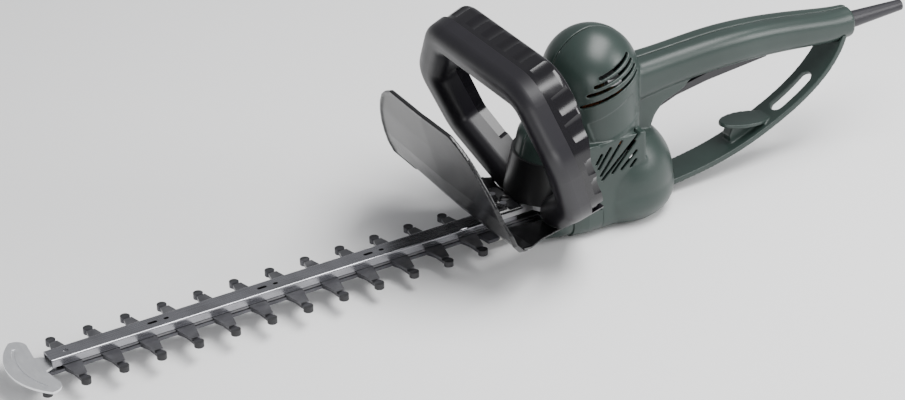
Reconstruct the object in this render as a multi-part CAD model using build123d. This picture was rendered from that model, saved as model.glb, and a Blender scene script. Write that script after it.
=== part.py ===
from build123d import *
import math
import os

# Corded hedge trimmer with a 450 mm cutting bar.
# Frame: +X towards the blade tip, +Y to the tool's left, +Z up, millimetres.
# Origin: on the ground plane under the tool's belly, on the vertical motor axis.

os.makedirs("parts", exist_ok=True)

# ---- driving dimensions ---------------------------------------------------------
# cutting bar
TOOTH_PITCH = 34.6
TOOTH_COUNT = 13
TIP_TOOTH_X = 550.0
BLOB_Y = 35.2
BLOB_R = 4.3
COMB_Z = 15.5
COMB_T = 3.0
COMB_HALF = 10.5
CUTTER_Z = 18.8
CUTTER_T = 2.0
CUTTER_HALF = 9.4
CUTTER_TOOTH_Y = 29.6
STROKE = 8.5
BAR_Z = 21.2
BAR_H = 7.3
BAR_W = 18.0
BAR_SHEET = 1.8
BAR_REAR_X = 84.0
BAR_TIP_X = 533.0
STUD_EVERY = 3
STUD_R = 3.0

# drive train
GEAR_X = 36.0
GEAR_TEETH = 62
PINION_TEETH = 10
MODULE = 1.0
GEAR_Z = 34.0
GEAR_FACE = 10.0
GEAR_AXLE_R = 5.0
ECCENTRIC_R = 11.0
SHAFT_R = 4.0

# motor
ARMATURE_R = 20.0
STATOR_Z = 80.0
STACK_H = 36.0
COMMUTATOR_R = 11.0
FAN_R = 33.0

# housing
WALL = 2.6
DOME_X = 0.6
DOME_R = 43.4
DOME_SHOULDER_Z = 138.0
DOME_TOP_Z = 185.0
BULGE_X = -25.0
BULGE_R = 52.0
NOSE_LOW = (51.0, 41.0, 4.0)
NOSE_HIGH = (30.0, 38.0, 100.0)
MIDDLE_HALF = 45.0
COVER_SPLIT_X = 16.0
COVER_SPLIT_Z = 27.0
BAND_Z = (40.0, 77.0)

# front handle
HANDLE_TILT = 20.0
BAR_DEEP = 25.0
FRONT_DEEP = 23.0
HANDLE_THICK = 31.0
SWITCH_TRAVEL = 3.0

# rear hand guard band
HOOP_W = 32.0
HOOP_T = 5.5


# ---- small helpers --------------------------------------------------------------
def block(x0, x1, y0, y1, z0, z1):
    centre = ((x0 + x1) / 2, (y0 + y1) / 2, (z0 + z1) / 2)
    return Pos(*centre) * Box(x1 - x0, y1 - y0, z1 - z0)


def post(x, y, z0, z1, r, r_top=None):
    if r_top is None:
        return Pos(x, y, (z0 + z1) / 2) * Cylinder(r, z1 - z0)
    return Pos(x, y, (z0 + z1) / 2) * Cone(r, r_top, z1 - z0)


def ring(x, y, z0, z1, r_out, r_in):
    return post(x, y, z0, z1, r_out) - post(x, y, z0 - 1, z1 + 1, r_in)


def rod_y(x, z, y0, y1, r):
    return Pos(x, (y0 + y1) / 2, z) * Rot(90, 0, 0) * Cylinder(r, y1 - y0)


def slab(points, z0, z1):
    """A flat outline of (x, y) points made a plate from z0 to z1."""
    face = make_face(Polyline(*[(x, y, z0) for x, y in points], close=True))
    return extrude(face, amount=z1 - z0, dir=(0, 0, 1))


def side_plate(points, y0, y1):
    """An outline of (x, z) points made a plate from y0 to y1."""
    face = make_face(Polyline(*[(x, y0, z) for x, z in points], close=True))
    return extrude(face, amount=y1 - y0, dir=(0, 1, 0))


def oblong(x, y, length, width, z0, z1):
    flat = length - width
    shape = block(x - flat / 2, x + flat / 2, y - width / 2, y + width / 2, z0, z1)
    for end in (-1, 1):
        shape += post(x + end * flat / 2, y, z0, z1, width / 2)
    return shape


def mirrored(part):
    return part + mirror(part, about=Plane.XZ)


def turned(part):
    """Front handle work is drawn upright about the Y axis, then leant forward."""
    return Rot(0, HANDLE_TILT, 0) * part


nodes = {}


def keep(name, part):
    part.label = name
    nodes[name] = part


# ---- comb, cutter and support bar -----------------------------------------------
def tooth_x(i):
    return TIP_TOOTH_X - i * TOOTH_PITCH


TIP_STUD_X = 517.0
STUD_X = [tooth_x(i) + TOOTH_PITCH / 2 for i in range(1 + STUD_EVERY, TOOTH_COUNT, STUD_EVERY)]
BOLT_X = (90.0, 106.0)


def comb_tooth(x):
    root = 8.0
    neck = 2.8
    half = [(x - root, 0), (x - root, COMB_HALF - 1), (x - neck - 1.2, COMB_HALF + 9), (x - neck, BLOB_Y)]
    outline = half + [(2 * x - px, py) for px, py in reversed(half)]
    tooth = slab(outline, COMB_Z, COMB_Z + COMB_T)
    blob = post(x, BLOB_Y, COMB_Z - 0.6, COMB_Z + COMB_T + 1.6, BLOB_R)
    return mirrored(tooth + blob)


def cutter_tooth(x):
    outline = [(x - 8.6, CUTTER_HALF - 2), (x - 8.6, CUTTER_HALF), (x - 3.8, CUTTER_TOOTH_Y),
               (x + 3.8, CUTTER_TOOTH_Y), (x + 8.6, CUTTER_HALF), (x + 8.6, CUTTER_HALF - 2)]
    return mirrored(slab(outline, CUTTER_Z, CUTTER_Z + CUTTER_T))


comb = block(20, TIP_TOOTH_X - 6, -COMB_HALF, COMB_HALF, COMB_Z, COMB_Z + COMB_T)
for i in range(TOOTH_COUNT):
    comb += comb_tooth(tooth_x(i))
comb += mirrored(slab([(109, 0), (109, 21), (112, 23.5), (122, 23.5), (126, 0)], COMB_Z, COMB_Z + COMB_T))
for x in STUD_X + [TIP_STUD_X]:
    comb -= post(x, 0, 0, 30, STUD_R)
for x in BOLT_X:
    comb -= post(x, 0, 0, 30, 2.6)
keep("comb_blade", comb)

HEEL_X = (12.0, 62.0)
CUTTER_TIP_X = 519.0
cutter = block(50, CUTTER_TIP_X, -CUTTER_HALF, CUTTER_HALF, CUTTER_Z, CUTTER_Z + CUTTER_T)
for i in range(1, TOOTH_COUNT):
    cutter += cutter_tooth(tooth_x(i))
heel = block(HEEL_X[0], HEEL_X[1], -23, 23, CUTTER_Z, CUTTER_Z + CUTTER_T)
yoke_window = block(GEAR_X - 11.3, GEAR_X + 11.3, -8.8, 8.8, CUTTER_Z - 1, CUTTER_Z + CUTTER_T + 1)
for side in (-1, 1):
    yoke_window += post(GEAR_X, side * 8.8, CUTTER_Z - 1, CUTTER_Z + CUTTER_T + 1, 11.3)
cutter = cutter + heel - yoke_window
for x in STUD_X + [TIP_STUD_X]:
    cutter -= oblong(x, 0, 2 * (STROKE + STUD_R + 0.5), 2 * STUD_R + 0.6, CUTTER_Z - 1, CUTTER_Z + 4)
bolt_mid = sum(BOLT_X) / 2
bolt_slot = BOLT_X[1] - BOLT_X[0] + 2 * (STROKE + 3.1)
cutter -= oblong(bolt_mid, 0, bolt_slot, 6.2, CUTTER_Z - 1, CUTTER_Z + 4)
keep("cutter_blade", cutter)

bar = block(BAR_REAR_X, BAR_TIP_X, -BAR_W / 2, BAR_W / 2, BAR_Z, BAR_Z + BAR_H)
bar = fillet(bar.edges().filter_by(Axis.X).group_by(Axis.Z)[-1], 1.6)
bar -= block(BAR_REAR_X - 1, BAR_TIP_X + 1, -BAR_W / 2 + BAR_SHEET, BAR_W / 2 - BAR_SHEET,
             BAR_Z - 1, BAR_Z + BAR_H - BAR_SHEET)
top_z = BAR_Z + BAR_H
for x in STUD_X:
    bar -= oblong(x + 8, 0, 9.0, 3.2, top_z - 4, top_z + 1)
    bar -= oblong(x - 5, 0, 4.6, 3.0, top_z - 4, top_z + 1)
bar -= post(TIP_STUD_X, 0, top_z - 4, top_z + 1, 2.6)
for x in BOLT_X:
    bar -= post(x, 0, top_z - 4, top_z + 1, 2.6)
keep("support_bar", bar)

studs = Part()
for x in STUD_X + [TIP_STUD_X]:
    studs += post(x, 0, COMB_Z, top_z - BAR_SHEET, STUD_R - 0.05)
    studs += post(x, 0, COMB_Z - 1.2, COMB_Z, 4.5)
keep("guide_studs", studs)


def tip_outline():
    """Kidney shaped plate: a convex front edge, two round lobes and a notched back."""
    front = ThreePointArc((549.5, -44.6, 0), (568.2, 0, 0), (549.5, 44.6, 0))
    lobe_l = ThreePointArc((549.5, 44.6, 0), (540.5, 41.5, 0), (537.8, 32, 0))
    back_l = Line((537.8, 32, 0), (540.5, 12, 0))
    neck = Polyline((540.5, 12, 0), (533.5, 9, 0), (533.5, 7, 0), (528.5, 7, 0),
                    (528.5, -7, 0), (533.5, -7, 0), (533.5, -9, 0), (540.5, -12, 0))
    back_r = Line((540.5, -12, 0), (537.8, -32, 0))
    lobe_r = ThreePointArc((537.8, -32, 0), (540.5, -41.5, 0), (549.5, -44.6, 0))
    return make_face(Wire([front, lobe_l, back_l, *neck.edges(), back_r, lobe_r]))


TIP_Z = COMB_Z + COMB_T + 2.1
GROOVE_OUTER = ThreePointArc((551, -34, 0), (560, 0, 0), (551, 34, 0))
GROOVE_INNER = ThreePointArc((548, 33, 0), (556.8, 0, 0), (548, -33, 0))
groove = make_face(Wire([GROOVE_OUTER, Line((551, 34, 0), (548, 33, 0)),
                         GROOVE_INNER, Line((548, -33, 0), (551, -34, 0))]))
tip_plate = Pos(0, 0, TIP_Z) * extrude(tip_outline(), amount=2.0, dir=(0, 0, 1))
tip_plate -= Pos(0, 0, TIP_Z + 1.3) * extrude(groove, amount=2.0, dir=(0, 0, 1))
tip_plate += block(529, 543, -6.5, 6.5, COMB_Z + COMB_T, TIP_Z)
keep("tip_guard", tip_plate)

# ---- gear case and drive ----------------------------------------------------------
CASE_FLOOR_Z = BAR_Z + BAR_H + 0.5
CASE_TOP_Z = 60.0
CHAMBER_R = GEAR_TEETH * MODULE / 2 + 3.0


def capsule(r_front, r_rear, z0, z1):
    """Two posts, at the gear axis and at the motor axis, joined by their tangent web."""
    outline = [(GEAR_X, r_front), (0, r_rear), (0, -r_rear), (GEAR_X, -r_front)]
    return post(GEAR_X, 0, z0, z1, r_front) + post(0, 0, z0, z1, r_rear) + slab(outline, z0, z1)


case = capsule(CHAMBER_R + 2.6, 19.0, CASE_FLOOR_Z, CASE_TOP_Z)
case += block(66, 112, -14, 14, CASE_FLOOR_Z, CASE_FLOOR_Z + 9)
case -= capsule(CHAMBER_R, 9.0, CASE_FLOOR_Z - 1, GEAR_Z + GEAR_FACE + 2)
case -= post(0, 0, 50, CASE_TOP_Z + 1, 11.03)
case -= post(0, 0, 40, CASE_TOP_Z, SHAFT_R + 2.5)
case -= post(GEAR_X, 0, 40, CASE_TOP_Z + 1, GEAR_AXLE_R + 0.03)
for x in BOLT_X:
    case -= post(x, 0, CASE_FLOOR_Z - 1, CASE_FLOOR_Z + 8, 2.6)
GUARD_SCREWS = [(98.0, -9.5), (98.0, 9.5)]
for x, y in GUARD_SCREWS:
    case -= post(x, y, CASE_FLOOR_Z + 2, CASE_FLOOR_Z + 20, 1.5)

plate = capsule(29.0, 17.0, COMB_Z - 6.5, COMB_Z - 3.5) + block(30, 114, -14, 14, COMB_Z - 6.5, COMB_Z)
plate -= block(20, 72, -12, 12, COMB_Z - 3.5, COMB_Z + 1)
for x in BOLT_X:
    plate -= post(x, 0, 0, 30, 2.6)
keep("base_plate", plate)

bolts = Part()
for x in BOLT_X:
    bolts += post(x, 0, COMB_Z - 8.5, COMB_Z - 6.5, 4.6)
    bolts += post(x, 0, COMB_Z - 6.5, CASE_FLOOR_Z + 7, 2.5)
keep("blade_bolts", bolts)

spacers = Part()
for x in BOLT_X:
    spacers += ring(x, 0, COMB_Z + COMB_T, top_z - BAR_SHEET, 3.0, 2.55)
keep("blade_spacers", spacers)


def toothed_wheel(teeth, face, thin):
    """Spur wheel with straight-sided teeth; thin is the flank relief for backlash."""
    r_pitch = teeth * MODULE / 2
    r_root = r_pitch - 1.15 * MODULE
    r_tip = r_pitch + 0.8 * MODULE
    half_pitch = math.pi / 2 / teeth
    slope = math.tan(math.radians(20))
    points = []
    for i in range(teeth):
        mid = 2 * math.pi * i / teeth
        for r, way in ((r_root, -1), (r_tip, -1), (r_tip, 1), (r_root, 1)):
            half = half_pitch - ((r - r_pitch) * slope + thin) / r_pitch
            a = mid + way * half
            points.append((r * math.cos(a), r * math.sin(a)))
    return slab(points, 0, face)


# a tooth of the pinion points at a gap of the gear
gear = Rot(0, 0, 180 + 180 / GEAR_TEETH) * toothed_wheel(GEAR_TEETH, GEAR_FACE, 0.22)
gear = Pos(GEAR_X, 0, GEAR_Z) * gear
gear -= ring(GEAR_X, 0, GEAR_Z + 7, GEAR_Z + GEAR_FACE + 1, 26, 12)
gear += post(GEAR_X, 0, GEAR_Z - 3, GEAR_Z, 21)
gear -= post(GEAR_X, 0, GEAR_Z - 4, GEAR_Z + GEAR_FACE + 1, 7.0)
keep("drive_gear", gear)
keep("gear_bush", ring(GEAR_X, 0, GEAR_Z - 3, GEAR_Z + GEAR_FACE, 6.98, GEAR_AXLE_R + 0.05))
keep("gear_axle", post(GEAR_X, 0, GEAR_Z - 2.5, CASE_TOP_Z, GEAR_AXLE_R))

# the disc turns 0.4 mm above the cutter's oval window, so the slide is left free
ECC_Z = CUTTER_Z + CUTTER_T + 0.4
disc = post(GEAR_X, STROKE, ECC_Z, GEAR_Z - 3, ECCENTRIC_R)
disc += post(GEAR_X, 0, GEAR_Z - 7, GEAR_Z - 3, 20)
keep("eccentric_disc", disc)

# ---- motor ------------------------------------------------------------------------
SHAFT_Z = (32.0, 157.0)
PINION_Z = (GEAR_Z - 0.5, GEAR_Z + GEAR_FACE + 0.5)
stack_top = STATOR_Z + STACK_H
shaft = post(0, 0, SHAFT_Z[0], SHAFT_Z[1], SHAFT_R)
shaft -= ring(0, 0, SHAFT_Z[0] - 1, PINION_Z[1], 8, 3.0)
keep("armature_shaft", shaft)
pinion = Pos(0, 0, PINION_Z[0]) * toothed_wheel(PINION_TEETH, PINION_Z[1] - PINION_Z[0], 0.2)
keep("pinion", pinion - post(0, 0, 20, 60, 3.02))
keep("lower_bearing", ring(0, 0, 50.2, 58, 11.0, SHAFT_R + 0.03))
keep("upper_bearing", ring(0, 0, 147, 154, 9.5, SHAFT_R + 0.03))

fan = ring(0, 0, 62, 64, FAN_R, SHAFT_R + 0.02) + ring(0, 0, 64, 72, 9, SHAFT_R + 0.02)
for i in range(12):
    blade = block(8, FAN_R - 1, -0.9, 0.9, 64, 71.5)
    fan += Rot(0, 0, 30 * i) * blade
keep("cooling_fan", fan)

core = ring(0, 0, STATOR_Z, stack_top, ARMATURE_R, SHAFT_R + 0.02)
for i in range(12):
    core -= Rot(0, 0, 30 * i) * block(13, ARMATURE_R + 1, -1.3, 1.3, STATOR_Z - 1, stack_top + 1)
keep("armature_core", core)
windings = ring(0, 0, STATOR_Z - 6, STATOR_Z, 17, SHAFT_R + 0.5)
windings += ring(0, 0, stack_top, stack_top + 6, 17, SHAFT_R + 0.5)
keep("armature_windings", windings)
COMM_Z = (stack_top + 8, stack_top + 22)
commutator = ring(0, 0, COMM_Z[0], COMM_Z[1], COMMUTATOR_R, SHAFT_R + 0.02)
for i in range(24):
    commutator -= Rot(0, 0, 15 * i) * block(9.5, 12, -0.25, 0.25, COMM_Z[0] - 1, COMM_Z[1] + 1)
keep("commutator", commutator)

stator = block(-34, 34, -29, 29, STATOR_Z, stack_top)
stator = fillet(stator.edges().filter_by(Axis.Z), 14)
stator -= post(0, 0, STATOR_Z - 1, stack_top + 1, ARMATURE_R + 0.6)
stator -= mirrored(block(-23, 23, 14, 23, STATOR_Z - 1, stack_top + 1))
keep("stator_core", stator)
coil = block(-22.6, 22.6, 14.4, 22.6, STATOR_Z - 7, stack_top + 7)
coil -= block(-17, 17, 13, 24, STATOR_Z, stack_top)
keep("field_coils", mirrored(coil) - post(0, 0, STATOR_Z - 10, stack_top + 10, ARMATURE_R + 0.6))

BRUSH_Z = (sum(COMM_Z)) / 2
BRUSH_IN = COMMUTATOR_R + 0.3
brushes = Part()
holders = Part()
springs = Part()
for side in (-1, 1):
    def along(y0, y1):
        return sorted((side * y0, side * y1))
    inner = along(BRUSH_IN, BRUSH_IN + 12)
    brushes += block(-3.2, 3.2, inner[0], inner[1], BRUSH_Z - 4, BRUSH_Z + 4)
    outer = along(BRUSH_IN + 3, BRUSH_IN + 24)
    cavity = along(BRUSH_IN + 2, BRUSH_IN + 22.5)
    holders += (block(-5, 5, outer[0], outer[1], BRUSH_Z - 6, BRUSH_Z + 6)
                - block(-3.3, 3.3, cavity[0], cavity[1], BRUSH_Z - 4.1, BRUSH_Z + 4.1))
    back = along(BRUSH_IN + 12.2, BRUSH_IN + 22.3)
    springs += rod_y(0, BRUSH_Z, back[0], back[1], 2.6)
keep("carbon_brushes", brushes)
keep("brush_holders", holders)
keep("brush_springs", springs)


# ---- housing ----------------------------------------------------------------------
def dome_form(inset):
    r = DOME_R - inset
    top = DOME_TOP_Z - inset
    low = 20.0 + inset
    rise = top - DOME_SHOULDER_Z
    mid = (r * math.cos(math.radians(44)), 0, DOME_SHOULDER_Z + rise * math.sin(math.radians(44)))
    face = make_face([
        Polyline((0, 0, top), (0, 0, low), (r, 0, low), (r, 0, DOME_SHOULDER_Z)),
        ThreePointArc((r, 0, DOME_SHOULDER_Z), mid, (0, 0, top))])
    return Pos(DOME_X, 0, 0) * revolve(face, Axis.Z)


def bulge_form(inset):
    r = BULGE_R - inset
    low = inset
    face = make_face([
        Polyline((0, 0, 84 - inset), (0, 0, low), (r - 16, 0, low)),
        ThreePointArc((r - 16, 0, low), (r - 4, 0, low + 8), (r, 0, 32)),
        ThreePointArc((r, 0, 32), (r - 3, 0, 52), (r - 18, 0, 74 - inset)),
        Line((r - 18, 0, 74 - inset), (0, 0, 84 - inset))])
    return Pos(BULGE_X, 0, 0) * revolve(face, Axis.Z)


def nose_form(inset):
    x0, r0, z0 = NOSE_LOW
    x1, r1, z1 = NOSE_HIGH
    low = Plane.XY.offset(z0 + inset) * Pos(x0, 0) * Circle(r0 - inset)
    high = Plane.XY.offset(z1 - inset) * Pos(x1, 0) * Circle(r1 - inset)
    cone = loft([low, high])
    cone = fillet(cone.edges().group_by(Axis.Z)[-1], 12 - inset)
    return fillet(cone.edges().group_by(Axis.Z)[0], 13 - inset)


def middle_form(inset):
    half = MIDDLE_HALF - inset
    outline = [(-30, half - 0.5), (30, half - 1), (44, NOSE_LOW[1] + 0.3 - inset)]
    shape = slab(outline + [(x, -y) for x, y in reversed(outline)], 1.5 + inset, 92 - inset)
    low_sides = shape.edges().group_by(Axis.Z)[0].filter_by(Axis.Y, reverse=True)
    return fillet(low_sides, 15 - inset)


def body_form(inset):
    return dome_form(inset) + bulge_form(inset) + nose_form(inset) + middle_form(inset)


# each station: x, z, width, height, corner radius, lean of the section in degrees
GRIP_STATIONS = [(-16, 122.5, 40, 35, 12, 4), (-60, 124.0, 40, 35, 12, 2), (-108, 126.8, 40, 33, 12, 2),
                 (-150, 127.0, 40, 32.5, 12, -3), (-190, 124.2, 38, 32, 12, -7), (-230, 119.0, 36, 31, 12, -8),
                 (-260, 115.0, 33, 30, 13, -5), (-279, 114.0, 30, 30, 14.2, 0)]
NECK = [(-30, 76), (-55, 76), (-59, 86), (-68, 96), (-90, 104), (-104, 118), (-104, 130), (-30, 132)]


def grip_form(inset):
    sections = []
    for x, z, wide, tall, corner, lean in GRIP_STATIONS:
        back = Rot(0, -90 - lean, 0)
        if x == GRIP_STATIONS[-1][0]:
            x += inset
        sections.append(Pos(x, 0, z) * back * RectangleRounded(tall - 2 * inset, wide - 2 * inset, corner - inset))
    grip = loft(sections)
    neck = side_plate(NECK, -15 + inset, 15 - inset)
    if inset:
        neck = neck & (Pos(0, 0, inset) * neck) & (Pos(inset, 0, 0) * neck)
    return grip + neck


outer_body = body_form(0)
outer = outer_body + grip_form(0)
inner_body = body_form(WALL)
inner = inner_body + grip_form(WALL)

# the case's flange fills the nose and locates it in the shells
flange = block(-60, 120, -60, 60, 52, 55) & nose_form(WALL + 0.2)
flange -= capsule(CHAMBER_R, 15.0, 50, 57)
keep("gear_case", case + flange)

bridge = post(0, 0, 144, 157, 13) + (block(-7, 7, -60, 60, 144, 150) & dome_form(WALL + 0.2))
bridge -= post(0, 0, 146.5, 156, 9.53) + post(0, 0, 140, 147, 6)
bridge -= post(0, 0, 155.9, 160, 6)
keep("bearing_bridge", bridge)

# ---- rear trigger, hinged at its tail -----------------------------------------------
TRIGGER_PIVOT = (-174.0, 117.0)
TRIGGER_TURN = 3.0
TRIGGER_HALF = 10.5
TRIGGER_LOW = [(-182, 108.5), (-160, 106.5), (-117, 102.5), (-84, 97), (-66, 90.5), (-59.5, 83), (-58, 79)]
TRIGGER_DEEP = [(-54, 78.5), (-54.5, 83), (-61, 94), (-80, 102.5), (-117, 110), (-160, 117), (-174, 122),
                (-182, 118)]
# the slot the trigger needs, from its rest to its raised place, open towards the hand
TRIGGER_ROOM = [(-184.5, 104), (-160, 102), (-117, 98), (-84, 92), (-70, 86), (-66, 77.5), (-52.5, 77.5),
                (-50.8, 86), (-51.5, 91.2), (-59, 102.2), (-79, 109.6), (-117, 114.8), (-161, 119.2),
                (-174, 123.6), (-184.5, 120)]


trigger = side_plate(TRIGGER_LOW + TRIGGER_DEEP, -TRIGGER_HALF, TRIGGER_HALF)
keep("rear_trigger", trigger - rod_y(*TRIGGER_PIVOT, -20, 20, 2.55))
keep("trigger_pin", rod_y(*TRIGGER_PIVOT, -13, 13, 2.5))
keep("trigger_spring", post(-100, 0, 113.5, 124, 3.2))
trigger_room = side_plate(TRIGGER_ROOM, -TRIGGER_HALF - 0.6, TRIGGER_HALF + 0.6)

# ---- housing shells -----------------------------------------------------------------
shell = outer - inner - trigger_room


def slot_cut(x0, z0, x1, z1, width):
    """A round-ended slot from (x0, z0) to (x1, z1), cut in from the left side."""
    run = math.hypot(x1 - x0, z1 - z0)
    lean = math.degrees(math.atan2(z0 - z1, x1 - x0))
    shape = block(0, run, 9, 70, -width / 2, width / 2)
    shape += rod_y(0, 0, 9, 70, width / 2) + rod_y(run, 0, 9, 70, width / 2)
    return Pos(x0, 0, z0) * Rot(0, lean, 0) * shape


UPPER_VENTS = [(-19, 164.5, 14, 153.5), (-22, 159, 19, 146), (-25, 153, 24.5, 138), (-27, 146.5, 29, 127)]
LOWER_VENTS = [(22, 73.5, 16.7, 81.5), (20.1, 68, 7.5, 85.6), (17.7, 60.7, -4, 89.1), (16, 56.4, -22.5, 92),
               (5.6, 60.1, -18, 85), (-3.9, 61.2, -19.5, 75.2), (-13.8, 61.1, -19, 66.7)]
vents = Part()
for x0, z0, x1, z1 in UPPER_VENTS:
    vents += slot_cut(x0, z0, x1, z1, 3.2)
for x0, z0, x1, z1 in LOWER_VENTS:
    vents += slot_cut(x0, z0, x1, z1, 2.4)
shell -= mirrored(vents)

PLATE = [(26, 111), (19, 89), (-32, 104), (-19, 131)]
plate_skin = (side_plate(PLATE, 20, 60) & outer_body) - Pos(0, -0.9, 0) * outer_body
shell -= mirrored(plate_skin)

cover_zone = block(COVER_SPLIT_X, 130, -80, 80, -5, COVER_SPLIT_Z)
shell -= block(60, 130, -29, 29, COMB_Z - 7.5, CASE_FLOOR_Z + 10)
front_cover = shell & cover_zone
shell -= cover_zone

SCREW_XZ = [(-226, 120), (-266, 114), (-122, 133), (-62, 22), (-50, 60)]
bosses = Part()
screws = Part()
screw_holes = Part()
for x, z in SCREW_XZ:
    bosses += rod_y(x, z, -16, 16, 4.2)
    screws += rod_y(x, z, -14, 12, 1.95) + rod_y(x, z, -17, -14, 3.4)
    screw_holes += rod_y(x, z, -60, 13, 2.0) + rod_y(x, z, -60, -14, 3.6)
shell = shell + (bosses & inner) - screw_holes - trigger_room
HANDLE_SCREWS = [(44, 41), (55, 45)]
handle_screws = Part()
for x, z in HANDLE_SCREWS:
    handle_screws += rod_y(x, z, 37, 52, 1.95) + rod_y(x, z, 52, 54.5, 3.8)
SLEEVE_Z = 113.0
sleeve_bore = Pos(-276, 0, SLEEVE_Z) * Rot(0, 90, 0) * Cylinder(8.6, 20)
shell -= sleeve_bore
for x, z in HANDLE_SCREWS:
    shell -= rod_y(x, z, -70, 70, 2.0)
keep("housing_left", shell & block(-400, 200, 0, 100, -10, 220))
keep("housing_right", shell & block(-400, 200, -100, 0, -10, 220))
keep("housing_screws", screws)
keep("handle_screws", mirrored(handle_screws))

COVER_SCREWS = [(24, 33), (54, 31)]
cover_screws = Part()
for x, y in COVER_SCREWS:
    front_cover += mirrored(post(x, y, 3.5, COVER_SPLIT_Z, 5.0)) & inner_body
    front_cover -= mirrored(post(x, y, 7.9, COVER_SPLIT_Z + 1, 1.55) + post(x, y, -1, 8, 3.6))
    cover_screws += post(x, y, 8, COVER_SPLIT_Z - 1, 1.5) + post(x, y, 6, 8, 3.4)
keep("front_cover", front_cover)
keep("cover_screws", mirrored(cover_screws))

# ---- nose band, carrying the front handle ---------------------------------------------
BAND_T = 2.0
band_zone = block(22, 130, -80, 80, *BAND_Z)
nose_band = (nose_form(-BAND_T) & band_zone) - outer_body
for x, z in HANDLE_SCREWS:
    nose_band -= rod_y(x, z, -70, 70, 2.0)
keep("nose_band", nose_band)

# ---- rear hand guard hoop -----------------------------------------------------------
HOOP_LINE = [(-266, 108), (-257.5, 90), (-236, 67), (-193, 41.5), (-147, 24), (-100, 14.5), (-62, 11)]


def hoop_strip(thickness, half):
    line = Spline(*[(x, 0, z) for x, z in HOOP_LINE])
    samples = [line @ (k / 24) for k in range(25)]
    tangents = [line % (k / 24) for k in range(25)]
    up = [(p.X - t.Z * thickness / 2, p.Z + t.X * thickness / 2) for p, t in zip(samples, tangents)]
    down = [(p.X + t.Z * thickness / 2, p.Z - t.X * thickness / 2) for p, t in zip(samples, tangents)]
    top = Spline(*[(x, -half, z) for x, z in up])
    low = Spline(*[(x, -half, z) for x, z in reversed(down)])
    face = make_face([top, Line(top @ 1, low @ 0), low, Line(low @ 1, top @ 0)])
    return extrude(face, amount=2 * half, dir=(0, 1, 0))


hoop = hoop_strip(HOOP_T, HOOP_W / 2)
hoop -= Pos(-219, 0, 56.5) * Rot(0, 36, 0) * oblong(0, 0, 49, 14, -20, 20)
# the cord cleat: an oval leaf, free at the front, on a web that rises from the band
CLEAT = (-166.0, 43.5)
leaf = extrude(Ellipse(27, 14), amount=2, both=True)
leaf = Pos(CLEAT[0], 0, CLEAT[1]) * Rot(0, -6, 0) * leaf
web = side_plate([(-190, 42), (-160, 44), (-150, 44), (-146, 34), (-148, 24), (-170, 31)], -6, 6)
hoop = hoop + leaf + web - outer
keep("rear_hoop", hoop)

# ---- parts inside the rear handle ---------------------------------------------------
keep("main_switch", block(-160, -128, -8, 8, 119.5, 134))
keep("switch_plunger", block(-150, -138, -4, 4, 117.4, 119.5))
keep("capacitor", Pos(-187, 0, 127) * Rot(0, 90, 0) * Cylinder(5.5, 22))
keep("terminal_block", block(-214, -205, -8, 8, 113, 123))
clamp = block(-256, -244, -8, 8, 106, 110) + mirrored(block(-256, -244, 5, 8, 110, 115))
keep("cable_clamp", clamp)

sleeve_run = 66.0
sleeve = Pos(-274 - sleeve_run / 2, 0, SLEEVE_Z) * Rot(0, 90, 0) * (
    Cone(5.2, 8.4, sleeve_run) - Cylinder(3.7, sleeve_run + 2))
sleeve += Pos(-272.5, 0, SLEEVE_Z) * Rot(0, 90, 0) * (Cylinder(11.0, 3) - Cylinder(3.7, 6))
keep("cable_sleeve", sleeve)

# ---- front handle: a leaning stirrup with a squeeze bar on its rear ------------------
# (n, y, u) of the seam's centre line: n runs forwards, y to the left, u up the leant ring
STIRRUP = [(31, 0, 204.5), (31, 70, 204.5), (38.5, 105, 153), (37, 94, 96), (34, 20, 38.6)]
BAR_U = STIRRUP[0][2]
SEAM_N = STIRRUP[0][0]
HALF_T = HANDLE_THICK / 2
BAR_HALF = HALF_T - 2.2
BAR_END_U = 84.0
above_bar_end = block(-40, 120, -160, 160, BAR_END_U, 260)
bar_line = FilletPolyline(*STIRRUP, radius=26)


def stirrup_sweep(s0, s1, half, corner):
    """Sweep a rounded section from s0 to s1 either side of the seam, round the whole stirrup."""
    frame = Plane(origin=bar_line @ 0, x_dir=(1, 0, 0), z_dir=bar_line % 0)
    face = RectangleRounded(s1 - s0, 2 * half, corner)
    return mirrored(sweep(frame * Pos((s0 + s1) / 2, 0) * face, path=bar_line))


# the ring is deepest at its crossbar and thins towards the legs
taper = side_plate([(26, -20), (26, 150), (SEAM_N - BAR_DEEP, 200), (SEAM_N - BAR_DEEP, 260),
                    (120, 260), (120, -20)], -160, 160)
behind_seam = stirrup_sweep(-40, 0, HALF_T + 5, 1) & above_bar_end
groove = stirrup_sweep(-4, 4.6, HALF_T - 1.7, 1.0) & above_bar_end
cavity = stirrup_sweep(7.5, FRONT_DEEP - 3, HALF_T - 3, 6) & block(0, 120, -160, 160, 70, 260)
finger_hole = Pos(SEAM_N + 1, 0, BAR_U) * Rot(0, 90, 0) * Cylinder(2.7, 20)
handle = stirrup_sweep(-BAR_DEEP, FRONT_DEEP, HALF_T, 12.5) & taper
handle = handle - cavity - behind_seam - groove - finger_hole
handle = turned(handle) - outer_body - nose_form(-BAND_T)
for x, z in HANDLE_SCREWS:
    handle -= mirrored(rod_y(x, z, 20, 52, 2.0) + rod_y(x, z, 52, 90, 4.2))
keep("front_handle", handle)

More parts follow.
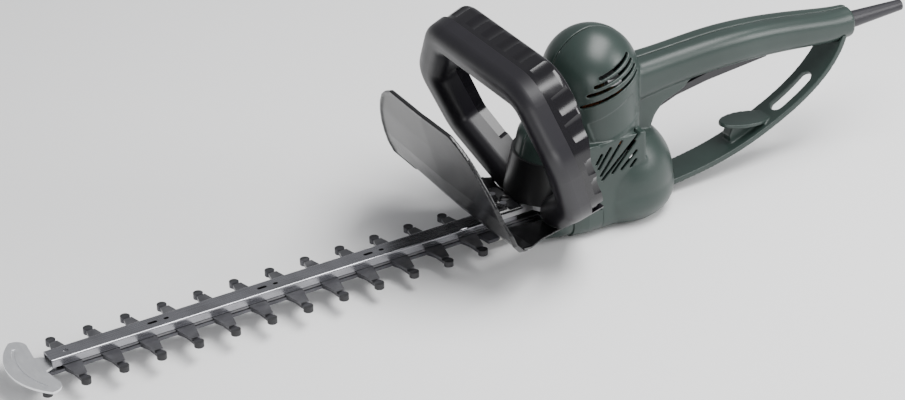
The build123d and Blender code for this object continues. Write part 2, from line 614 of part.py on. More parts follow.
switch_bar = stirrup_sweep(-BAR_DEEP, 8, BAR_HALF, 6.5) & taper & block(-40, 120, -160, 160, BAR_END_U + 0.6, 260)
switch_bar -= stirrup_sweep(1.0, 20, HALF_T, 1)
FINGER_PITCH = 24.0
FINGER_DIP = 1.8
scallops = Part()
steps = int(bar_line.length / FINGER_PITCH)
for k in range(steps):
    p = bar_line @ ((k + 0.5) / steps)
    t = bar_line % ((k + 0.5) / steps)
    reach = (BAR_HALF + 20.0 - FINGER_DIP) / math.hypot(t.Y, t.Z)
    spot = Pos(p.X - 24, p.Y + t.Z * -reach, p.Z + t.Y * reach)
    scallops += spot * Rot(0, 90, 0) * Cylinder(20, 38)
switch_bar -= mirrored(scallops)
switch_bar += Pos(SEAM_N + 3.5, 0, BAR_U) * Rot(0, 90, 0) * Cylinder(2.2, 8)
keep("front_switch_bar", turned(switch_bar))
keep("front_switch", turned(block(SEAM_N + 11.2, SEAM_N + FRONT_DEEP - 4, -9, 9, BAR_U - 7, BAR_U + 7)))
bar_spring = Pos(SEAM_N + 4.4, 40, BAR_U) * Rot(0, 90, 0) * Cylinder(3, 0.4)
keep("bar_springs", turned(mirrored(bar_spring)))

# ---- hand guard: a leaning shield with a floor running back under the nose ------------
GUARD_T = 2.4
GUARD_HALF = 112.0
# (x, z) of the shield and floor on the centre line and out at the sides
GUARD_MID = [(175, 152), (165, 115), (155, 82), (143, 56), (130, 38), (110, 27), (78, 23), (48, 23)]
GUARD_SIDE = [(173, 152), (163, 115), (153, 82), (143, 58), (131, 45), (112, 37), (80, 33), (48, 30)]
GUARD_RIM = [(50, 150), (64, 143), (73, 136), (82, 125), (90, 112), (97, 97), (101, 80),
             (105, 69), (104, 58), (96, 46), (88, 40), (80, 30), (80, 10)]
GUARD_PLAN = [(200, 120), (133, 120), (125, 88), (92, 66), (71, 57), (52, 52), (46, 40)]


def offset_line(points, step):
    """Shift an open (x, z) line sideways by step, mitred at its corners."""
    shifted = []
    for k, (x, z) in enumerate(points):
        x0, z0 = points[max(k - 1, 0)]
        x1, z1 = points[min(k + 1, len(points) - 1)]
        run = math.hypot(x1 - x0, z1 - z0)
        shifted.append((x - step * (z1 - z0) / run, z + step * (x1 - x0) / run))
    return shifted


def guard_wall(front, back):
    """The bent sheet between two offsets of the guard line, out to GUARD_HALF each side."""
    faces = []
    for y, line in ((-GUARD_HALF, GUARD_SIDE), (0, GUARD_MID), (GUARD_HALF, GUARD_SIDE)):
        points = offset_line(line, front) + list(reversed(offset_line(line, back)))
        faces.append(make_face(Polyline(*[(x, y, z) for x, z in points], close=True)))
    return loft(faces, ruled=True)


def both_sides(points):
    """(y, other) points out on the left, then their mirror images in reverse."""
    return points + [(-y, other) for y, other in reversed(points)]


def rim_prism(inset):
    """The front outline of the guard, drawn in by inset, as a prism along X."""
    wire = both_sides(GUARD_RIM)
    face = make_face(Polyline(*[(40, y, z) for y, z in wire], close=True))
    if inset:
        face = offset(face, amount=-inset)
    return extrude(face, amount=150, dir=(1, 0, 0))


plan_prism = slab([(x, y) for y, x in both_sides([(y, x) for x, y in GUARD_PLAN])], 0, 160)
trim = rim_prism(0) & plan_prism
guard = guard_wall(0, -GUARD_T) & trim
guard_bead = (guard_wall(1.3, -GUARD_T - 0.6) & trim) - rim_prism(3.0)
guard += guard_bead & block(118, 200, -120, 120, 36, 160)
guard -= block(40, 136, -31, 31, 0, 44)
# a pad screwed to the nose of the gear case, with ribs up to the shield
PAD_Z = CASE_FLOOR_Z + 9.0
pad = block(85.2, 138, -22, 22, PAD_Z, PAD_Z + 3)
for y in (-18, -3, 3, 18):
    pad += side_plate([(92, PAD_Z), (150, PAD_Z), (150, 70), (138, 70), (100, PAD_Z + 6)], y - 1.2, y + 1.2)
behind_shield = [(x, z) for x, z in offset_line(GUARD_MID, 0.5 - GUARD_T) if z > 36]
guard += pad & side_plate(behind_shield + [(60, 36), (60, 152)], -30, 30)
guard -= post(BOLT_X[0], 0, PAD_Z - 1, PAD_Z + 5, 4) + post(BOLT_X[1], 0, PAD_Z - 1, PAD_Z + 5, 4)
for x, y in GUARD_SCREWS:
    guard -= post(x, y, PAD_Z - 1, PAD_Z + 5, 1.7)
guard -= nose_form(-0.5) + capsule(CHAMBER_R + 4, 19, 20, 60)
guard -= turned(stirrup_sweep(-BAR_DEEP - 0.4, FRONT_DEEP + 0.4, HALF_T + 0.4, 12.8))
keep("hand_guard", guard)
guard_screws = Part()
for x, y in GUARD_SCREWS:
    guard_screws += post(x, y, CASE_FLOOR_Z + 3, PAD_Z + 3, 1.45) + post(x, y, PAD_Z + 3, PAD_Z + 5, 3.2)
keep("guard_screws", guard_screws)

for name, part in nodes.items():
    export_step(part, "parts/" + name + ".step")
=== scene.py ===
import math

import bmesh
import bpy
import numpy
from mathutils import Matrix, Vector


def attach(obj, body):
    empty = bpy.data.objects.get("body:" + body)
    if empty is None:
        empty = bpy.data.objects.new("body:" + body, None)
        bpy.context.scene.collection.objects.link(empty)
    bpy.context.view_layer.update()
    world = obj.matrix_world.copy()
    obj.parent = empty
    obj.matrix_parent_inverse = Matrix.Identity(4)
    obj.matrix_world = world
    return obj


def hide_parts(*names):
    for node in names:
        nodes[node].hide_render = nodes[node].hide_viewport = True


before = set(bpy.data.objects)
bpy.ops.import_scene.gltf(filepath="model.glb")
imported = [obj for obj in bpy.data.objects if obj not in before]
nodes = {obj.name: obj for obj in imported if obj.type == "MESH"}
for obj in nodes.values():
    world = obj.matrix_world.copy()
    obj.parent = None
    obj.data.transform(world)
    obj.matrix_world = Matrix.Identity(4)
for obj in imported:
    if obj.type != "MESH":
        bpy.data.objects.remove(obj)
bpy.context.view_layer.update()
MM = 0.001

# ---- studio ---------------------------------------------------------------------------------
# A pale seamless floor, three large soft lamps and a long lens that looks down on the left
# side of the trimmer from beyond its blade tip.
camera_data = bpy.data.cameras.new("camera")
camera_data.sensor_width = 36
camera_data.lens = 131.93
camera = bpy.data.objects.new("camera", camera_data)
camera.location = (1.3931, 2.1902, 1.4759)
camera.rotation_euler = [math.radians(angle) for angle in (60.590, 1.580, 149.404)]
bpy.context.scene.collection.objects.link(camera)
bpy.context.scene.camera = camera

world = bpy.data.worlds.new("room")
world.use_nodes = True
world.node_tree.nodes["Background"].inputs["Color"].default_value = (0.96, 0.97, 1.0, 1)
world.node_tree.nodes["Background"].inputs["Strength"].default_value = 0.42
bpy.context.scene.world = world


def softbox(name, place, aim, width, height, watts):
    """A large rectangular lamp at a place, turned towards a point."""
    data = bpy.data.lights.new(name, "AREA")
    data.shape = "RECTANGLE"
    data.size = width
    data.size_y = height
    data.energy = watts
    lamp = bpy.data.objects.new(name, data)
    lamp.location = place
    lamp.rotation_euler = (Vector(aim) - Vector(place)).to_track_quat("-Z", "Y").to_euler()
    bpy.context.scene.collection.objects.link(lamp)


softbox("overhead softbox", (-0.35, 0.35, 1.6), (0.05, 0, 0.1), 1.6, 0.8, 48)
softbox("side softbox", (-1.3, 1.1, 0.9), (-0.1, 0, 0.1), 0.8, 0.8, 20)
softbox("blade softbox", (0.9, 1.3, 0.35), (0.3, 0, 0.03), 1.0, 0.35, 9)

floor_mesh = bpy.data.meshes.new("floor")
FLOOR_SPAN = 12
floor_corners = [(-FLOOR_SPAN, -FLOOR_SPAN, 0), (FLOOR_SPAN, -FLOOR_SPAN, 0),
                 (FLOOR_SPAN, FLOOR_SPAN, 0), (-FLOOR_SPAN, FLOOR_SPAN, 0)]
floor_mesh.from_pydata(floor_corners, [], [(0, 1, 2, 3)])
floor = bpy.data.objects.new("floor", floor_mesh)
bpy.context.scene.collection.objects.link(floor)


def new_group(name, inputs, outputs):
    """An empty shader node group with named number, colour and vector sockets."""
    kinds = {"number": "NodeSocketFloat", "colour": "NodeSocketColor", "vector": "NodeSocketVector"}
    group = bpy.data.node_groups.new(name, "ShaderNodeTree")
    for label, kind, value in inputs:
        socket = group.interface.new_socket(label, in_out="INPUT", socket_type=kinds[kind])
        socket.default_value = value
    for label, kind in outputs:
        group.interface.new_socket(label, in_out="OUTPUT", socket_type=kinds[kind])
    return group


class Wires:
    """Adds nodes to one tree and links their sockets by name."""

    def __init__(self, tree):
        self.tree = tree

    def add(self, kind, links=(), **settings):
        node = self.tree.nodes.new(kind)
        values = settings.pop("values", {})
        for key, value in settings.items():
            setattr(node, key, value)
        for key, value in values.items():
            node.inputs[key].default_value = value
        for key, source in dict(links).items():
            self.tree.links.new(source, node.inputs[key])
        return node

    def noise(self, place, scale, detail=3.0):
        return self.add("ShaderNodeTexNoise", {"Vector": place},
                        values={"Scale": scale, "Detail": detail}).outputs["Fac"]

    def sums(self, operation, first, second):
        node = self.add("ShaderNodeMath", operation=operation)
        for socket, value in zip(node.inputs, (first, second)):
            if isinstance(value, (int, float)):
                socket.default_value = value
            else:
                self.tree.links.new(value, socket)
        return node.outputs[0]

    def remap(self, value, low, high, to_low=0.0, to_high=1.0):
        node = self.add("ShaderNodeMapRange", {"Value": value})
        for key, number in (("From Min", low), ("From Max", high), ("To Min", to_low), ("To Max", to_high)):
            if isinstance(number, (int, float)):
                node.inputs[key].default_value = number
            else:
                self.tree.links.new(number, node.inputs[key])
        return node.outputs["Result"]

    def blend(self, amount, first, second):
        node = self.add("ShaderNodeMix", data_type="RGBA")
        self.tree.links.new(amount, node.inputs["Factor"])
        for socket, value in ((node.inputs["A"], first), (node.inputs["B"], second)):
            if isinstance(value, tuple):
                socket.default_value = value
            else:
                self.tree.links.new(value, socket)
        return node.outputs["Result"]


def moulded_group():
    """Injection-moulded plastic: a fine spark-eroded grain with faint handling polish."""
    group = new_group("moulded grain",
                      [("Colour", "colour", (0.1, 0.1, 0.1, 1)), ("Rubbed", "colour", (0.2, 0.2, 0.2, 1)),
                       ("Roughness", "number", 0.5), ("Grain", "number", 1500.0)],
                      [("Colour", "colour"), ("Roughness", "number"), ("Height", "number")])
    wires = Wires(group)
    given = wires.add("NodeGroupInput").outputs
    place = wires.add("ShaderNodeTexCoord").outputs["Object"]
    grain = wires.noise(place, 1500.0, 2.0)
    wires.tree.links.new(given["Grain"], grain.node.inputs["Scale"])
    patches = wires.noise(place, 22.0, 4.0)
    rub = wires.remap(patches, 0.42, 0.78)
    speck = wires.remap(grain, 0.35, 0.75, 0.0, 0.16)
    mixed = wires.blend(wires.sums("ADD", wires.sums("MULTIPLY", rub, 0.30), speck),
                        given["Colour"], given["Rubbed"])
    rough = wires.sums("SUBTRACT", given["Roughness"], wires.sums("MULTIPLY", rub, 0.07))
    wires.add("NodeGroupOutput", {"Colour": mixed, "Roughness": rough, "Height": grain})
    return group


def drawn_group():
    """Drawn, rolled or ground metal: fine marks that run one way over a mottled tone."""
    group = new_group("drawn metal",
                      [("Colour", "colour", (0.5, 0.5, 0.5, 1)), ("Stain", "colour", (0.2, 0.2, 0.2, 1)),
                       ("Roughness", "number", 0.3), ("Marks", "vector", (40.0, 900.0, 900.0))],
                      [("Colour", "colour"), ("Roughness", "number"), ("Height", "number")])
    wires = Wires(group)
    given = wires.add("NodeGroupInput").outputs
    place = wires.add("ShaderNodeTexCoord").outputs["Object"]
    stretched = wires.add("ShaderNodeVectorMath", operation="MULTIPLY")
    wires.tree.links.new(place, stretched.inputs[0])
    wires.tree.links.new(given["Marks"], stretched.inputs[1])
    marks = wires.noise(stretched.outputs[0], 1.0, 3.0)
    mottle = wires.noise(place, 60.0, 5.0)
    stain = wires.sums("MULTIPLY", wires.remap(mottle, 0.4, 0.75), 0.45)
    mixed = wires.blend(wires.sums("ADD", stain, wires.remap(marks, 0.3, 0.8, 0.0, 0.18)),
                        given["Colour"], given["Stain"])
    rough = wires.sums("ADD", given["Roughness"], wires.remap(marks, 0.3, 0.7, -0.05, 0.10))
    wires.add("NodeGroupOutput", {"Colour": mixed, "Roughness": rough, "Height": marks})
    return group


def surface(name, group, values, metallic=0.0, bump=0.02):
    """A material whose colour, roughness and relief come from one of the shared groups."""
    material = bpy.data.materials.new(name)
    material.use_nodes = True
    wires = Wires(material.node_tree)
    shader = material.node_tree.nodes["Principled BSDF"]
    shader.inputs["Metallic"].default_value = metallic
    effect = wires.add("ShaderNodeGroup", node_tree=group, values=values)
    relief = wires.add("ShaderNodeBump", {"Height": effect.outputs["Height"]},
                       values={"Distance": bump * MM, "Strength": 1.0})
    material.node_tree.links.new(effect.outputs["Colour"], shader.inputs["Base Color"])
    material.node_tree.links.new(effect.outputs["Roughness"], shader.inputs["Roughness"])
    material.node_tree.links.new(relief.outputs["Normal"], shader.inputs["Normal"])
    return material


def rgb(red, green, blue):
    """A colour given as linear light."""
    return (red, green, blue, 1.0)


def paint(material, *names):
    """Gives CAD nodes one finish."""
    for name in names:
        slots = nodes[name].material_slots
        for entry in slots:
            entry.material = material


moulded = moulded_group()
drawn = drawn_group()
floor_material = surface("floor paper", moulded, {"Colour": rgb(0.86, 0.86, 0.86),
                                                  "Rubbed": rgb(0.88, 0.88, 0.88),
                                                  "Roughness": 0.85, "Grain": 900.0})
floor.data.materials.append(floor_material)

# ---- armature -------------------------------------------------------------------------------
# The motor's turning part: a ground shaft with a stack of slotted iron sheets, enamelled
# copper windings in the slots and a commutator of copper bars above them.
LAMINATION_THICK = 0.5
WIRE_THICK = 0.6


def banded_material(name, high, low, roughness, metallic, pitch, direction="Z", bump=0.08):
    """Sheets or turns stacked along one direction, each a fine dark line from the next."""
    material = surface(name, drawn, {"Colour": high, "Stain": low, "Roughness": roughness,
                                     "Marks": (500.0, 500.0, 500.0)}, metallic)
    wires = Wires(material.node_tree)
    shader = material.node_tree.nodes["Principled BSDF"]
    place = wires.add("ShaderNodeTexCoord").outputs["Object"]
    bands = wires.add("ShaderNodeTexWave", {"Vector": place}, wave_type="BANDS", bands_direction=direction,
                      values={"Scale": 1 / (pitch * MM) / 3.18, "Distortion": 0.3}).outputs["Fac"]
    plain = shader.inputs["Base Color"].links[0].from_socket
    lines = wires.remap(bands, 0.05, 0.45)
    material.node_tree.links.new(wires.blend(lines, low, plain), shader.inputs["Base Color"])
    relief = wires.add("ShaderNodeBump", {"Height": bands}, values={"Distance": bump * MM})
    material.node_tree.links.new(relief.outputs["Normal"], shader.inputs["Normal"])
    return material


lamination = banded_material("electrical sheet", rgb(0.30, 0.30, 0.31), rgb(0.08, 0.07, 0.07), 0.42, 0.9,
                             LAMINATION_THICK)
windings = banded_material("enamelled copper wire", rgb(0.50, 0.17, 0.06), rgb(0.16, 0.04, 0.02), 0.30, 0.85,
                           WIRE_THICK, direction="DIAGONAL", bump=0.25)
commutator_bars = surface("commutator copper", drawn, {"Colour": rgb(0.62, 0.27, 0.12),
                                                       "Stain": rgb(0.18, 0.09, 0.06), "Roughness": 0.25,
                                                       "Marks": (90.0, 90.0, 3000.0)}, metallic=1.0)
ground_shaft = surface("ground shaft steel", drawn, {"Colour": rgb(0.56, 0.56, 0.57),
                                                     "Stain": rgb(0.30, 0.29, 0.28), "Roughness": 0.22,
                                                     "Marks": (120.0, 120.0, 2600.0)}, metallic=1.0)
paint(lamination, "armature_core", "stator_core")
paint(windings, "armature_windings", "field_coils")
paint(commutator_bars, "commutator")
paint(ground_shaft, "armature_shaft", "gear_axle", "trigger_pin")

fan_nylon = surface("glass-filled fan nylon", moulded, {"Colour": rgb(0.020, 0.020, 0.022),
                                                        "Rubbed": rgb(0.06, 0.06, 0.06),
                                                        "Roughness": 0.45, "Grain": 900.0}, bump=0.03)
paint(fan_nylon, "cooling_fan")

bearing_race = surface("bearing steel", drawn, {"Colour": rgb(0.60, 0.60, 0.62), "Stain": rgb(0.33, 0.33, 0.34),
                                                "Roughness": 0.16, "Marks": (300.0, 300.0, 2400.0)},
                       metallic=1.0)
paint(bearing_race, "upper_bearing", "lower_bearing")

# ---- brush gear -----------------------------------------------------------------------------
# Two carbon blocks in folded brass boxes press on the commutator, each pushed by a coil
# spring, and a cast bridge across the housing holds the upper bearing between them.
carbon = surface("pressed carbon", moulded, {"Colour": rgb(0.012, 0.012, 0.013), "Rubbed": rgb(0.07, 0.07, 0.07),
                                             "Roughness": 0.62, "Grain": 2600.0}, bump=0.04)
brass = surface("folded brass", drawn, {"Colour": rgb(0.66, 0.45, 0.16), "Stain": rgb(0.30, 0.18, 0.07),
                                        "Roughness": 0.32, "Marks": (1200.0, 60.0, 1200.0)}, metallic=1.0)
spring_wire = surface("spring wire", drawn, {"Colour": rgb(0.52, 0.53, 0.55), "Stain": rgb(0.22, 0.22, 0.22),
                                             "Roughness": 0.24, "Marks": (700.0, 700.0, 700.0)}, metallic=1.0)
cast_alloy = surface("die-cast alloy", moulded, {"Colour": rgb(0.42, 0.42, 0.43), "Rubbed": rgb(0.62, 0.62, 0.63),
                                                 "Roughness": 0.48, "Grain": 700.0}, metallic=1.0, bump=0.06)
paint(carbon, "carbon_brushes")
paint(brass, "brush_holders")
paint(spring_wire, "brush_springs", "trigger_spring")
paint(cast_alloy, "bearing_bridge", "gear_case")


def islands(name):
    """The box of each separate solid of a CAD node, as lowest and highest corners."""
    work = bmesh.new()
    work.from_mesh(nodes[name].data)
    bmesh.ops.remove_doubles(work, verts=work.verts, dist=0.001 * MM)
    found = []
    seen = set()
    for start in work.verts:
        if start in seen:
            continue
        seen.add(start)
        stack = [start]
        member = []
        while stack:
            vertex = stack.pop()
            member.append(vertex.co.copy())
            for edge in vertex.link_edges:
                other = edge.other_vert(vertex)
                if other not in seen:
                    seen.add(other)
                    stack.append(other)
        low = Vector([min(point[axis] for point in member) for axis in range(3)])
        high = Vector([max(point[axis] for point in member) for axis in range(3)])
        found.append((low, high))
    work.free()
    found.sort(key=lambda pair: tuple(round(value, 5) for value in pair[0]))
    return found


def geometry_tree(name, inputs):
    """A Geometry Nodes tree with named inputs and one geometry output."""
    kinds = {"number": "NodeSocketFloat", "finish": "NodeSocketMaterial"}
    tree = bpy.data.node_groups.new(name, "GeometryNodeTree")
    tree.interface.new_socket("Mesh", in_out="OUTPUT", socket_type="NodeSocketGeometry")
    for label, kind in inputs:
        tree.interface.new_socket(label, in_out="INPUT", socket_type=kinds[kind])
    return tree


def plain_result(holder):
    """The holder's mesh with its modifiers applied; the holder is removed."""
    graph = bpy.context.evaluated_depsgraph_get()
    mesh = bpy.data.meshes.new_from_object(holder.evaluated_get(graph))
    bpy.data.objects.remove(holder)
    return mesh


def held(name, mesh):
    """A working object for a mesh, to carry modifiers."""
    holder = bpy.data.objects.new(name, mesh)
    bpy.context.scene.collection.objects.link(holder)
    return holder


def grown(tree, name, values):
    """Runs a Geometry Nodes tree with the given inputs and returns its result as a plain mesh."""
    holder = held(name, bpy.data.meshes.new(name))
    modifier = holder.modifiers.new("shape", "NODES")
    modifier.node_group = tree
    for item in tree.interface.items_tree:
        if item.in_out == "INPUT" and item.name in values:
            modifier[item.identifier] = values[item.name]
    return plain_result(holder)


def piece(name, mesh, node):
    """Puts a finished mesh in the scene, riding on the frame and standing for a CAD node."""
    made = held(name, mesh)
    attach(made, "frame")
    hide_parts(node)


def coil_tree():
    """A closed-wound or open coil of round wire along +Z."""
    tree = geometry_tree("coil spring", [("Turns", "number"), ("Radius", "number"), ("Height", "number"),
                                         ("Wire", "number"), ("Finish", "finish")])
    wires = Wires(tree)
    given = wires.add("NodeGroupInput").outputs
    spiral = wires.add("GeometryNodeCurveSpiral", {"Rotations": given["Turns"], "Start Radius": given["Radius"],
                                                   "End Radius": given["Radius"], "Height": given["Height"]},
                       values={"Resolution": 20})
    ring = wires.add("GeometryNodeCurvePrimitiveCircle", {"Radius": given["Wire"]}, values={"Resolution": 10})
    tube = wires.add("GeometryNodeCurveToMesh", {"Curve": spiral.outputs[0], "Profile Curve": ring.outputs[0]},
                     values={"Fill Caps": True})
    real = wires.add("GeometryNodeRealizeInstances", {"Geometry": tube.outputs[0]})
    done = wires.add("GeometryNodeSetMaterial", {"Geometry": real.outputs[0], "Material": given["Finish"]})
    wires.add("NodeGroupOutput", {"Mesh": done.outputs[0]})
    return tree


coil = coil_tree()


def springs(node, axis, turns, wire):
    """Replaces each solid spring of a CAD node by a real coil of wire along the given axis."""
    merged = bmesh.new()
    aim = {"x": Vector((1, 0, 0)), "y": Vector((0, 1, 0)), "z": Vector((0, 0, 1))}[axis]
    index = "xyz".index(axis)
    for low, high in islands(node):
        span = high[index] - low[index]
        across = min(high[(index + 1) % 3] - low[(index + 1) % 3], high[(index + 2) % 3] - low[(index + 2) % 3])
        mesh = grown(coil, "coil", {"Turns": turns, "Radius": across / 2 - wire, "Height": span - 2 * wire,
                                    "Wire": wire, "Finish": spring_wire})
        middle = (low + high) / 2
        mesh.transform(Matrix.Translation(middle - aim * (span / 2 - wire)) @
                       aim.to_track_quat("Z", "Y").to_matrix().to_4x4())
        merged.from_mesh(mesh)
    mesh = bpy.data.meshes.new(node + "_coils")
    bmesh.ops.recalc_face_normals(merged, faces=merged.faces)
    merged.to_mesh(mesh)
    merged.free()
    mesh.materials.append(spring_wire)
    mesh.shade_smooth()
    piece(node + "_coils", mesh, node)


springs("brush_springs", "y", 6.0, 0.35 * MM)

# ---- gear train -----------------------------------------------------------------------------
# A pinion cut on the motor shaft drives a sintered spur gear on a fixed axle with a bronze
# bush, and the eccentric disc under the gear pushes the cutter blade to and fro.
cut_gear = surface("cut gear steel", drawn, {"Colour": rgb(0.40, 0.40, 0.41), "Stain": rgb(0.14, 0.13, 0.12),
                                             "Roughness": 0.34, "Marks": (500.0, 500.0, 1800.0)}, metallic=1.0)
bronze = surface("sintered bronze", moulded, {"Colour": rgb(0.50, 0.30, 0.12), "Rubbed": rgb(0.70, 0.46, 0.20),
                                              "Roughness": 0.40, "Grain": 2200.0}, metallic=1.0, bump=0.03)
plate_steel = surface("zinc-plated plate", drawn, {"Colour": rgb(0.58, 0.58, 0.56), "Stain": rgb(0.40, 0.38, 0.32),
                                                   "Roughness": 0.36, "Marks": (45.0, 900.0, 900.0)}, metallic=1.0)
paint(cut_gear, "pinion", "drive_gear", "eccentric_disc")
paint(bronze, "gear_bush")
paint(plate_steel, "base_plate")

# ---- blades ---------------------------------------------------------------------------------
# A fixed comb with blunt black guard teeth carries the thin moving cutter; both are hardened
# steel, blackened by heat treatment and ground bright where they shear.


def blade_material(name, dark, bright, tip, tip_from):
    """Blackened steel with rolled marks along the blade and black paint on the tooth ends."""
    material = surface(name, drawn, {"Colour": dark, "Stain": bright, "Roughness": 0.33,
                                     "Marks": (60.0, 1400.0, 1400.0)}, metallic=0.92, bump=0.02)
    wires = Wires(material.node_tree)
    shader = material.node_tree.nodes["Principled BSDF"]
    place = wires.add("ShaderNodeTexCoord").outputs["Object"]
    split = wires.add("ShaderNodeSeparateXYZ", {"Vector": place})
    across = wires.sums("ABSOLUTE", split.outputs["Y"], 0.0)
    ends = wires.remap(across, (tip_from - 1.2) * MM, (tip_from + 1.2) * MM)
    plain = shader.inputs["Base Color"].links[0].from_socket
    rough = shader.inputs["Roughness"].links[0].from_socket
    material.node_tree.links.new(wires.blend(ends, plain, tip), shader.inputs["Base Color"])
    material.node_tree.links.new(wires.remap(ends, 0.0, 1.0, rough, 0.5), shader.inputs["Roughness"])
    material.node_tree.links.new(wires.remap(ends, 0.0, 1.0, 0.92, 0.1), shader.inputs["Metallic"])
    return material


comb_finish = blade_material("blackened comb steel", rgb(0.070, 0.070, 0.078), rgb(0.22, 0.22, 0.235),
                             rgb(0.018, 0.018, 0.020), 35.0)
cutter_finish = blade_material("ground cutter steel", rgb(0.13, 0.13, 0.14), rgb(0.34, 0.34, 0.35),
                               rgb(0.10, 0.10, 0.11), 60.0)
paint(comb_finish, "comb_blade")
paint(cutter_finish, "cutter_blade")

# ---- support bar ----------------------------------------------------------------------------
# A rolled steel channel, open side down, stiffens the blades; it is bright zinc, and shouldered
# studs pass through its slots and let the cutter slide.
bar_steel = surface("rolled channel steel", drawn, {"Colour": rgb(0.36, 0.36, 0.385),
                                                    "Stain": rgb(0.20, 0.20, 0.21), "Roughness": 0.24,
                                                    "Marks": (14.0, 1300.0, 1300.0)}, metallic=1.0, bump=0.02)
stud_steel = surface("turned stud steel", drawn, {"Colour": rgb(0.66, 0.66, 0.67), "Stain": rgb(0.32, 0.31, 0.30),
                                                  "Roughness": 0.2, "Marks": (900.0, 900.0, 900.0)}, metallic=1.0)
bolt_steel = surface("blued bolt steel", drawn, {"Colour": rgb(0.24, 0.24, 0.26), "Stain": rgb(0.10, 0.09, 0.09),
                                                 "Roughness": 0.3, "Marks": (900.0, 900.0, 300.0)}, metallic=1.0)
paint(bar_steel, "support_bar")
paint(stud_steel, "guide_studs", "blade_spacers")
paint(bolt_steel, "blade_bolts")

# ---- tip plate ------------------------------------------------------------------------------
# A pressed steel plate with a curved stiffening groove, riveted over the end of the bar so
# that the blade can't dig into walls or soil.
tip_steel = surface("satin tip plate", drawn, {"Colour": rgb(0.90, 0.91, 0.93), "Stain": rgb(0.72, 0.72, 0.73),
                                               "Roughness": 0.34, "Marks": (900.0, 120.0, 900.0)}, metallic=0.9)
paint(tip_steel, "tip_guard")


EASE_NEAR = 2.5
EASE_FAR = 8.0
EASE_KEPT = 0.06
EASE_STEPS = 12


def easing(points, slots):
    """How freely each point may move when edges are eased: little beside a slot, fully away from one."""
    nearest = numpy.full(len(points), EASE_FAR * MM)
    for x0, z0, x1, z1 in slots:
        start = numpy.array((x0, z0)) * MM
        run = numpy.array((x1 - x0, z1 - z0)) * MM
        offset = points[:, (0, 2)] - start
        along = numpy.clip(offset @ run / (run @ run), 0, 1)
        nearest = numpy.minimum(nearest, numpy.linalg.norm(offset - along[:, None] * run, axis=1))
    free = (nearest / MM - EASE_NEAR) / (EASE_FAR - EASE_NEAR)
    return EASE_KEPT + (1 - EASE_KEPT) * numpy.clip(free, 0, 1)


def softened(node, grid, rounds, finish, slots=(), share=1.0):
    """A moulded piece on the form of a CAD node: its skin in small even faces, with every
    sharp crease and edge eased into a fillet, save beside its slots."""
    work = bmesh.new()
    work.from_mesh(nodes[node].data)
    bmesh.ops.remove_doubles(work, verts=work.verts, dist=0.002 * MM)
    mesh = bpy.data.meshes.new(node + "_form")
    work.to_mesh(mesh)
    work.free()
    mesh.materials.clear()
    mesh.materials.append(finish)
    holder = held(node + "_form", mesh)
    skin = holder.modifiers.new("even skin", "REMESH")
    skin.mode = "VOXEL"
    skin.voxel_size = grid * MM
    even = plain_result(holder)
    holder = held(node + "_skin", even)
    ease = holder.modifiers.new("eased edges", "SMOOTH")
    ease.factor = 0.5
    ease.iterations = rounds
    if slots:
        points = numpy.empty(len(even.vertices) * 3)
        even.vertices.foreach_get("co", points)
        steps = numpy.round(easing(points.reshape(-1, 3), slots) * EASE_STEPS).astype(int)
        group = holder.vertex_groups.new(name="ease")
        for step in range(EASE_STEPS + 1):
            group.add(numpy.nonzero(steps == step)[0].tolist(), step / EASE_STEPS, "REPLACE")
        ease.vertex_group = "ease"
    if share < 1:
        thin = holder.modifiers.new("fewer faces", "DECIMATE")
        thin.ratio = share
    result = plain_result(holder)
    result.shade_smooth()
    piece(node + "_moulding", result, node)


# ---- hand guard -----------------------------------------------------------------------------
# A thin moulded shield of gloss black plastic with a rolled rim stands between the front hand
# and the blade, screwed through a ribbed pad to the gear case.
guard_finish = surface("gloss guard plastic", moulded, {"Colour": rgb(0.0035, 0.0035, 0.0040),
                                                        "Rubbed": rgb(0.012, 0.012, 0.014),
                                                        "Roughness": 0.27, "Grain": 600.0}, bump=0.006)
paint(guard_finish, "hand_guard")
softened("hand_guard", 0.9, 6, guard_finish)

# ---- housing --------------------------------------------------------------------------------
# Two moulded half shells of dark green nylon meet on the middle plane and are held by screws
# from the right; their skin is a fine even spark-eroded texture.
GREEN = rgb(0.0150, 0.0265, 0.0225)
GREEN_RUBBED = rgb(0.034, 0.053, 0.047)
housing_finish = surface("green housing nylon", moulded, {"Colour": GREEN, "Rubbed": GREEN_RUBBED,
                                                          "Roughness": 0.40, "Grain": 1700.0}, bump=0.016)
paint(housing_finish, "housing_left", "housing_right", "front_cover", "rear_hoop")
SHELL_GRID = 0.8
SHELL_ROUNDS = 45
SHELL_SHARE = 0.5
UPPER_VENTS = [(-19, 164.5, 14, 153.5), (-22, 159, 19, 146), (-25, 153, 24.5, 138), (-27, 146.5, 29, 127)]
LOWER_VENTS = [(22, 73.5, 16.7, 81.5), (20.1, 68, 7.5, 85.6), (17.7, 60.7, -4, 89.1), (16, 56.4, -22.5, 92),
               (5.6, 60.1, -18, 85), (-3.9, 61.2, -19.5, 75.2), (-13.8, 61.1, -19, 66.7)]
SIDE_PLATE = [(26, 111, 19, 89), (19, 89, -32, 104), (-32, 104, -19, 131), (-19, 131, 26, 111)]
for shell in ("housing_left", "housing_right"):
    softened(shell, SHELL_GRID, SHELL_ROUNDS, housing_finish,
             UPPER_VENTS + LOWER_VENTS + SIDE_PLATE, SHELL_SHARE)
softened("rear_hoop", 0.8, 8, housing_finish)

# ---- nose band ------------------------------------------------------------------------------
# A black plastic belt wraps the nose of the housing between the green parts, clipped on
# before the cover closes under it.
band_finish = surface("black band plastic", moulded, {"Colour": rgb(0.0045, 0.0045, 0.0050),
                                                      "Rubbed": rgb(0.014, 0.014, 0.015),
                                                      "Roughness": 0.38, "Grain": 1500.0}, bump=0.015)
paint(band_finish, "nose_band")

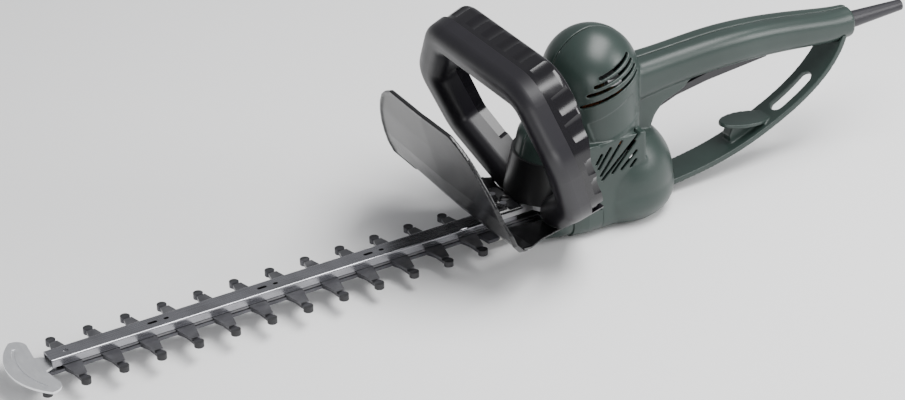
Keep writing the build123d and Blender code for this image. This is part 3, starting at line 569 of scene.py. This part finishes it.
# ---- front handle ---------------------------------------------------------------------------
# The bail handle is a hollow black moulding, a rounded D in section, with a slightly softer
# skin than the housing; its rear face is a squeeze bar with finger scallops.
handle_finish = surface("soft black handle plastic", moulded, {"Colour": rgb(0.0062, 0.0055, 0.0080),
                                                               "Rubbed": rgb(0.020, 0.018, 0.024),
                                                               "Roughness": 0.42, "Grain": 1900.0}, bump=0.015)
bar_finish = surface("gloss squeeze bar plastic", moulded, {"Colour": rgb(0.0045, 0.0040, 0.0055),
                                                            "Rubbed": rgb(0.013, 0.012, 0.015),
                                                            "Roughness": 0.22, "Grain": 500.0}, bump=0.006)
paint(handle_finish, "front_handle")
paint(bar_finish, "front_switch_bar")
switch_plastic = surface("switch thermoset", moulded, {"Colour": rgb(0.016, 0.016, 0.018),
                                                       "Rubbed": rgb(0.05, 0.05, 0.052),
                                                       "Roughness": 0.5, "Grain": 1300.0}, bump=0.02)
paint(switch_plastic, "front_switch", "main_switch", "terminal_block", "cable_clamp")
paint(spring_wire, "bar_springs")

# ---- rear trigger and lead ------------------------------------------------------------------
# The rear hand closes a long black trigger under the grip against a coil spring, and a rubber
# sleeve stiffens the mains lead where it leaves the grip.
trigger_finish = surface("black trigger plastic", moulded, {"Colour": rgb(0.0060, 0.0055, 0.0080),
                                                            "Rubbed": rgb(0.018, 0.017, 0.022),
                                                            "Roughness": 0.36, "Grain": 1400.0}, bump=0.012)
plunger_finish = surface("red plunger plastic", moulded, {"Colour": rgb(0.30, 0.012, 0.010),
                                                          "Rubbed": rgb(0.42, 0.05, 0.04),
                                                          "Roughness": 0.3, "Grain": 1200.0}, bump=0.01)
capacitor_finish = surface("capacitor film", moulded, {"Colour": rgb(0.42, 0.34, 0.06),
                                                       "Rubbed": rgb(0.60, 0.50, 0.14),
                                                       "Roughness": 0.3, "Grain": 400.0}, bump=0.02)
sleeve_finish = surface("sleeve rubber", moulded, {"Colour": rgb(0.0085, 0.0080, 0.0110),
                                                   "Rubbed": rgb(0.024, 0.023, 0.029),
                                                   "Roughness": 0.48, "Grain": 1100.0}, bump=0.02)
paint(trigger_finish, "rear_trigger")
paint(plunger_finish, "switch_plunger")
paint(capacitor_finish, "capacitor")
paint(sleeve_finish, "cable_sleeve")
springs("trigger_spring", "z", 6.0, 0.4 * MM)

# ---- screws ---------------------------------------------------------------------------------
# Black thread-forming screws close the shells, the cover and the handle legs, and plated ones
# hold the guard.
screw_black = surface("blackened screw steel", drawn, {"Colour": rgb(0.055, 0.055, 0.06),
                                                       "Stain": rgb(0.16, 0.155, 0.15), "Roughness": 0.35,
                                                       "Marks": (800.0, 800.0, 800.0)}, metallic=0.9)
paint(screw_black, "housing_screws", "handle_screws", "cover_screws")
paint(bolt_steel, "guard_screws")
